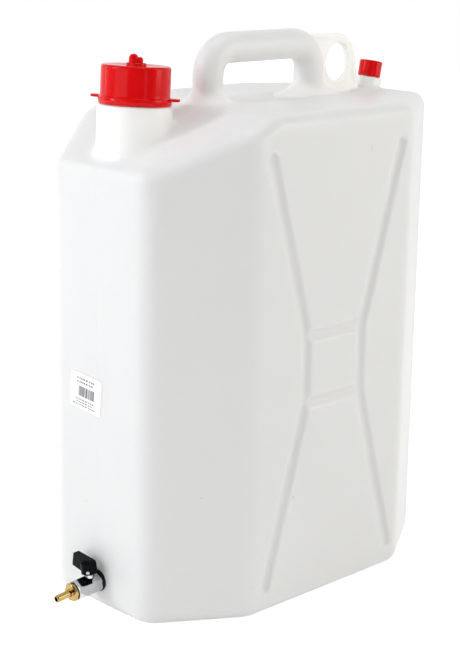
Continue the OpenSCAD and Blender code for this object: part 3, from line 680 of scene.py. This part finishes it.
def tongue(bm, side):
    """A lug of the cap: a tongue with a round end."""
    at = place(turn(LUG_TURN + (0 if side > 0 else 180), "Z"), shift(0, 0, FLANGE_T - LUG_T))
    half = LUG_W / 2
    plate(bm, [(CAP_R - 1, -half), (LUG_REACH, -half), (LUG_REACH, half), (CAP_R - 1, half)],
          (0, half - 0.05, half - 0.05, 0), LUG_T, at)


def filler_cap():
    """The large cap: rounded skirt that flares into its flange, dished top, two lugs and a lobed stud."""
    inner = CAP_R - CAP_WALL
    ceiling = CAP_H - CAP_TOP
    dish_r = CAP_R - 1.6 * CAP_EDGE
    dish_z = CAP_H - CAP_DISH
    profile = [(0, ceiling), (0, dish_z), (dish_r * 0.55, dish_z), (dish_r * 0.8, CAP_H - 0.6),
               (dish_r, CAP_H - 0.1)]
    profile += arc((CAP_R - CAP_EDGE, CAP_H - CAP_EDGE), CAP_EDGE, 90, 0, 8)
    profile += [(CAP_R, FLANGE_T + 3.2)] + arc((CAP_R + 2.2, FLANGE_T + 1.4), 2.2, 180, 245, 5)
    profile += arc((FLANGE_R - 1.4, 3.2), 1.4, 40, -30, 5) + [(FLANGE_R - 0.4, 0.2), (FLANGE_R - 1.0, -0.4)]
    profile += [(inner + 0.5, -0.4), (inner, 0.2), (inner, ceiling - 0.8), (inner - 0.8, ceiling)]
    cap = start("filler_cap_shell", turned, profile, Matrix.Identity(4))
    for side in (-1, 1):
        bm = bmesh.new()
        tongue(bm, side)
        combine(cap, soften_edges(mesh_piece("lug", bm), 0.7, 3), "UNION")
    join(cap, thread, inner + 0.3, inner - 0.75, PITCH, 2.0, 6.0, Matrix.Identity(4))
    stud = place(shift(0, 0, dish_z), turn(STUD_TURN, "Z"))
    disc = [(0, -1), (STUD_R, -1)] + arc((STUD_R - 1.3, 1.9), 1.3, 0, 90, 5) + [(0, 3.4)]
    join(cap, turned, disc, stud)
    for x, y, radius, height in STUD_DOMES:
        dome = [(0, 1), (radius, 1)] + arc((0, height - radius), radius, 0, 90, 8)
        join(cap, turned, dome, place(stud, shift(x, y, 0)), 32)
    # The cap is made upright and then put on the leaning neck
    cap.data.transform(stretch(1 / MM, 1 / MM, 1 / MM))
    cap.data.transform(place(NECK, shift(0, 0, CAP_GAP)))
    cap.data.transform(stretch(MM, MM, MM))
    shade(cap, CAP_CREASE)
    return cap


def vent_cap():
    """The small cap: a plain cup with a rounded edge and an inner thread."""
    inner, ceiling, edge = VENT_CAP_R - VENT_CAP_WALL, VENT_CAP_H - VENT_CAP_WALL, 1.2
    profile = [(0, ceiling), (0, VENT_CAP_H - 0.3), (VENT_CAP_R - 3, VENT_CAP_H - 0.3),
               (VENT_CAP_R - 2, VENT_CAP_H)]
    profile += arc((VENT_CAP_R - edge, VENT_CAP_H - edge), edge, 90, 0, 6)
    profile += [(VENT_CAP_R, 0.5), (VENT_CAP_R - 0.4, 0), (inner + 0.3, 0), (inner, 0.4), (inner, ceiling)]
    at = place(VENT, shift(0, 0, VENT_GAP))
    cap = start("vent_cap_shell", turned, profile, at)
    join(cap, thread, inner + 0.3, VENT_FINISH_R + 0.15, VENT_PITCH, 2.0, 3.0, at)
    shade(cap, CAP_CREASE)
    return cap


dress(filler_cap(), RED, "filler_cap_set", "filler_cap")
dress(vent_cap(), RED, "vent_cap_set", "vent_cap")


# The valve


def hexagon(bm, across_flats, length, at):
    rod(bm, across_flats / math.sqrt(3), length, place(at, turn(90, "Z")), sides=6)


def valve_body():
    """Chromed hexagonal body with chamfered ends, its stub through the wall and the boss of the stem."""
    length = HEX_FRONT - HEX_BACK
    corner_r, flat = VALVE_AF / math.sqrt(3), VALVE_AF / 2
    bevel = corner_r - flat
    body = start("valve_shell", hexagon, VALVE_AF, length, place(TAP, shift(0, 0, HEX_BACK), turn(90, "Z")))
    # A turned blank keeps the corners of the hexagon off both ends
    blank = [(0, 0), (flat, 0), (corner_r, 1.6), (corner_r, length - bevel / 2), (corner_r - bevel, length),
             (0, length)]
    join(body, turned, blank, place(TAP, shift(0, 0, HEX_BACK)), operation="INTERSECT")
    join(body, rod, BOSS_R, BOSS_TOP - flat + 1, place(STEM, shift(0, 0, flat - 1)))
    soften_edges(body, 0.25)
    join(body, rod, STUB_R, STUB_L + 1, place(TAP, shift(0, 0, HEX_BACK - STUB_L)))
    cut(body, rod, CHAMBER_R, length, place(TAP, shift(0, 0, CHAMBER_BACK)))
    cut(body, rod, BORE_R, 30, place(TAP, shift(0, 0, -20)))
    cut(body, rod, POCKET_R, POCKET_TOP, STEM)
    cut(body, rod, STEM_R + STEM_GAP, BOSS_TOP + 2, STEM)
    shade(body, VALVE_CREASE)
    return body


def lever():
    """Black lever: an upright plate through a round hub, every edge rounded as moulded."""
    heel = HUB_R + 2.3
    hub_top = BLADE_TOP - 5
    side = [(-HUB_R + 0.6, HUB_FOOT), (heel - 2.4, HUB_FOOT), (heel, HUB_FOOT + 1.6),
            (heel - 0.8, BLADE_TOP - 3.3), (heel - 3.6, BLADE_TOP - 1.7), (-BLADE_REACH + 2.8, BLADE_TOP),
            (-BLADE_REACH, BLADE_FOOT)]
    made = start("lever_shell", plate, side, (0, 0, 0, 1, 2, 0.6, 0.6), BLADE_T,
                 place(STEM, shift(0, BLADE_T / 2, 0), turn(90, "X")))
    join(made, rod, HUB_R, hub_top - HUB_FOOT, place(STEM, shift(0, 0, HUB_FOOT)))
    join(made, rod, HUB_R, 2.6, place(STEM, shift(0, 0, hub_top)), BLADE_T / 2)
    soften_edges(made, 0.45, 3)
    # Recess under the hub, bore of the stem and hole of the set screw
    cut(made, rod, HUB_R - 1.8, 2, place(STEM, shift(0, 0, HUB_FOOT - 1)))
    cut(made, rod, STEM_R + STEM_GAP, hub_top - 0.7 - HUB_FOOT, place(STEM, shift(0, 0, HUB_FOOT)))
    cut(made, rod, SCREW_HOLE_R, SCREW_HOLE_L,
        place(STEM, shift(0, 0, HUB_FOOT + 2.3), turn(SCREW_TURN, "Z"), turn(90, "Y")))
    shade(made, FITTING_CREASE)
    return made


def hose_tail():
    """Turned brass tail with its hexagon, a fine groove behind the rounded tip and the bore."""
    hex_t = TAIL_FACE - TAIL_BACK
    corner_r = TAIL_AF / math.sqrt(3)
    made = start("hose_tail_shell", hexagon, TAIL_AF, hex_t,
                 place(TAP, shift(0, 0, TAIL_BACK), turn(90 + TAIL_TURN, "Z")))
    blank = [(0, 0), (corner_r + 1, 0), (corner_r, hex_t - 0.5), (corner_r - 0.6, hex_t), (0, hex_t)]
    join(made, turned, blank, place(TAP, shift(0, 0, TAIL_BACK)), operation="INTERSECT")
    soften_edges(made, 0.15)
    tip = TAIL_TIP - TAIL_FACE
    tail = [(0, -1), (TAIL_R + 0.4, -1), (TAIL_R + 0.4, 0), (TAIL_R, 0.5), (TAIL_R, tip - 1.6),
            (TAIL_R - 0.12, tip - 1.5), (TAIL_R - 0.12, tip - 1.2), (TAIL_R, tip - 1.1)]
    tail += arc((TAIL_R - 0.6, tip - 0.6), 0.6, 0, 90, 5) + [(0, tip)]
    join(made, turned, tail, place(TAP, shift(0, 0, TAIL_FACE)))
    thread_at = place(TAP, shift(0, 0, TAIL_THREAD_TIP))
    join(made, rod, TAIL_THREAD_R, TAIL_BACK - TAIL_THREAD_TIP + 1, thread_at)
    cut(made, rod, TAIL_BORE_R, 40, place(TAP, shift(0, 0, 15)))
    shade(made, FITTING_CREASE)
    return made


dress(valve_body(), CHROME, "can", "valve_body")
dress(lever(), NYLON, "lever_set", "lever")
dress(hose_tail(), BRASS, "can", "hose_tail")


# Finishes of the nodes that are shown as they are

for name, finish in (("label", LABEL), ("filler_liner", FOAM), ("vent_liner", FOAM), ("ball", CHROME),
                     ("seat_inner", PTFE), ("seat_outer", PTFE), ("seat_retainer", BRASS), ("stem", BRASS),
                     ("stem_washer", PTFE), ("stem_o_ring", RUBBER), ("lever_screw", STEEL),
                     ("tail_seal", RUBBER), ("outer_washer", RUBBER), ("inner_washer", RUBBER),
                     ("lock_nut", BRASS)):
    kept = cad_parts[name]
    kept.data.materials.clear()
    kept.data.materials.append(finish)


# Studio

# Strength of the even light from all round
AMBIENT = 0.6
# The lamps: place and size in metres, power and colour; they all point at the middle of the can
LAMPS = {"key": ((-0.9, -1.7, 1.4), (0.35, 1.5), 14.5, "FAFBFF"),
         "front": ((0.0, -2.0, 0.6), (1.5, 1.5), 11.0, "FAFBFF"),
         "strip": ((-1.5, -0.85, 0.6), (0.05, 1.2), 1.6, "FFFFFF"),
         "fill": ((1.9, -0.4, 0.8), (0.3, 1.2), 1.2, "FFFCF5"),
         "rear": ((1.6, 1.2, 0.9), (0.8, 1.2), 11.5, "FFFCF2"),
         "top": ((0.1, 0.2, 2.0), (0.9, 0.9), 4.0, "FFFFFF")}
LAMP_AIM = (0, 0, 0.25)
# Where mirrors see the room as unlit: the direction, how far round it starts and ends, and its darkest
ROOM_TOWARDS, ROOM_START, ROOM_END, ROOM_DARK = (0.45, -0.45, 0.77), -0.2, 0.4, 0.06
# Half the floor's width in millimetres, and the light of its own that makes it look white
FLOOR_SIZE, FLOOR_LIFT = 4000, 0.68
WHITE, FLOOR_TONE = (1, 1, 1, 1), (0.8, 0.8, 0.8, 1)
# The camera: focal length and sensor in millimetres, its right, up and back axes, and its place in metres
LENS, SENSOR = 87.53, 36.0
CAMERA_AXES = ((0.695498, 0.718384, 0.014354), (-0.190426, 0.165023, 0.96773),
               (0.692838, -0.675787, 0.251574))
CAMERA_AT = (1.0136, -1.0080, 0.59555)


def larger(tree, first, second):
    """The larger of two values."""
    return add(tree, "ShaderNodeMath", {0: first, 1: second}, operation="MAXIMUM").outputs[0]


def seen_directly(tree):
    """1 for what the camera, a mirror or glass shows, and 0 for light on the object."""
    rays = add(tree, "ShaderNodeLightPath").outputs
    return larger(tree, larger(tree, rays["Is Camera Ray"], rays["Is Glossy Ray"]),
                  rays["Is Transmission Ray"])


def studio():
    """The world, floor, lamps and camera."""
    scene = bpy.context.scene
    scene.view_settings.view_transform = "Standard"
    world = bpy.data.worlds.new("studio")
    scene.world = world
    world.use_nodes = True
    tree = world.node_tree
    tree.nodes.clear()
    soft = add(tree, "ShaderNodeBackground", {"Color": WHITE, "Strength": AMBIENT})
    # The sweep behind the can is white, and the room in front of it and above is unlit
    towards = add(tree, "ShaderNodeTexCoord").outputs["Generated"]
    room = add(tree, "ShaderNodeVectorMath", {0: towards, 1: ROOM_TOWARDS}, operation="DOT_PRODUCT")
    unlit = add(tree, "ShaderNodeMapRange", {
        "Value": room.outputs["Value"], "From Min": ROOM_START, "From Max": ROOM_END,
        "To Min": 1.0, "To Max": ROOM_DARK}, interpolation_type="SMOOTHSTEP")
    to_camera = add(tree, "ShaderNodeLightPath").outputs["Is Camera Ray"]
    level = larger(tree, unlit.outputs[0], to_camera)
    white = add(tree, "ShaderNodeBackground", {"Color": WHITE, "Strength": level})
    mix = add(tree, "ShaderNodeMixShader", {0: seen_directly(tree), 1: soft.outputs[0], 2: white.outputs[0]})
    add(tree, "ShaderNodeOutputWorld", {"Surface": mix.outputs[0]})

    bm = bmesh.new()
    bmesh.ops.create_grid(bm, x_segments=1, y_segments=1, size=FLOOR_SIZE)
    floor = mesh_piece("floor", bm)
    made, tree = new_material("pale_floor")
    matt = add(tree, "ShaderNodeBsdfDiffuse", {"Color": FLOOR_TONE})
    lift = add(tree, "ShaderNodeEmission", {"Color": WHITE, "Strength": FLOOR_LIFT})
    lifted = add(tree, "ShaderNodeAddShader", {0: matt.outputs[0], 1: lift.outputs[0]})
    finish_surface(tree, add(tree, "ShaderNodeMixShader", {
        0: seen_directly(tree), 1: matt.outputs[0], 2: lifted.outputs[0]}))
    floor.data.materials.append(made)

    for name, (where, size, power, colour) in LAMPS.items():
        lamp = bpy.data.lights.new(name, "AREA")
        lamp.shape = "RECTANGLE"
        lamp.size, lamp.size_y = size
        lamp.energy = power
        lamp.color = srgb(colour)[:3]
        made = bpy.data.objects.new(name, lamp)
        made.location = where
        made.rotation_euler = (Vector(LAMP_AIM) - Vector(where)).to_track_quat("-Z", "Y").to_euler()
        scene.collection.objects.link(made)

    optics = bpy.data.cameras.new("camera")
    optics.sensor_fit = "AUTO"
    optics.sensor_width = SENSOR
    optics.lens = LENS
    camera = bpy.data.objects.new("camera", optics)
    camera.matrix_world = Matrix((*zip(*CAMERA_AXES, CAMERA_AT), (0, 0, 0, 1)))
    scene.collection.objects.link(camera)
    scene.camera = camera


studio()
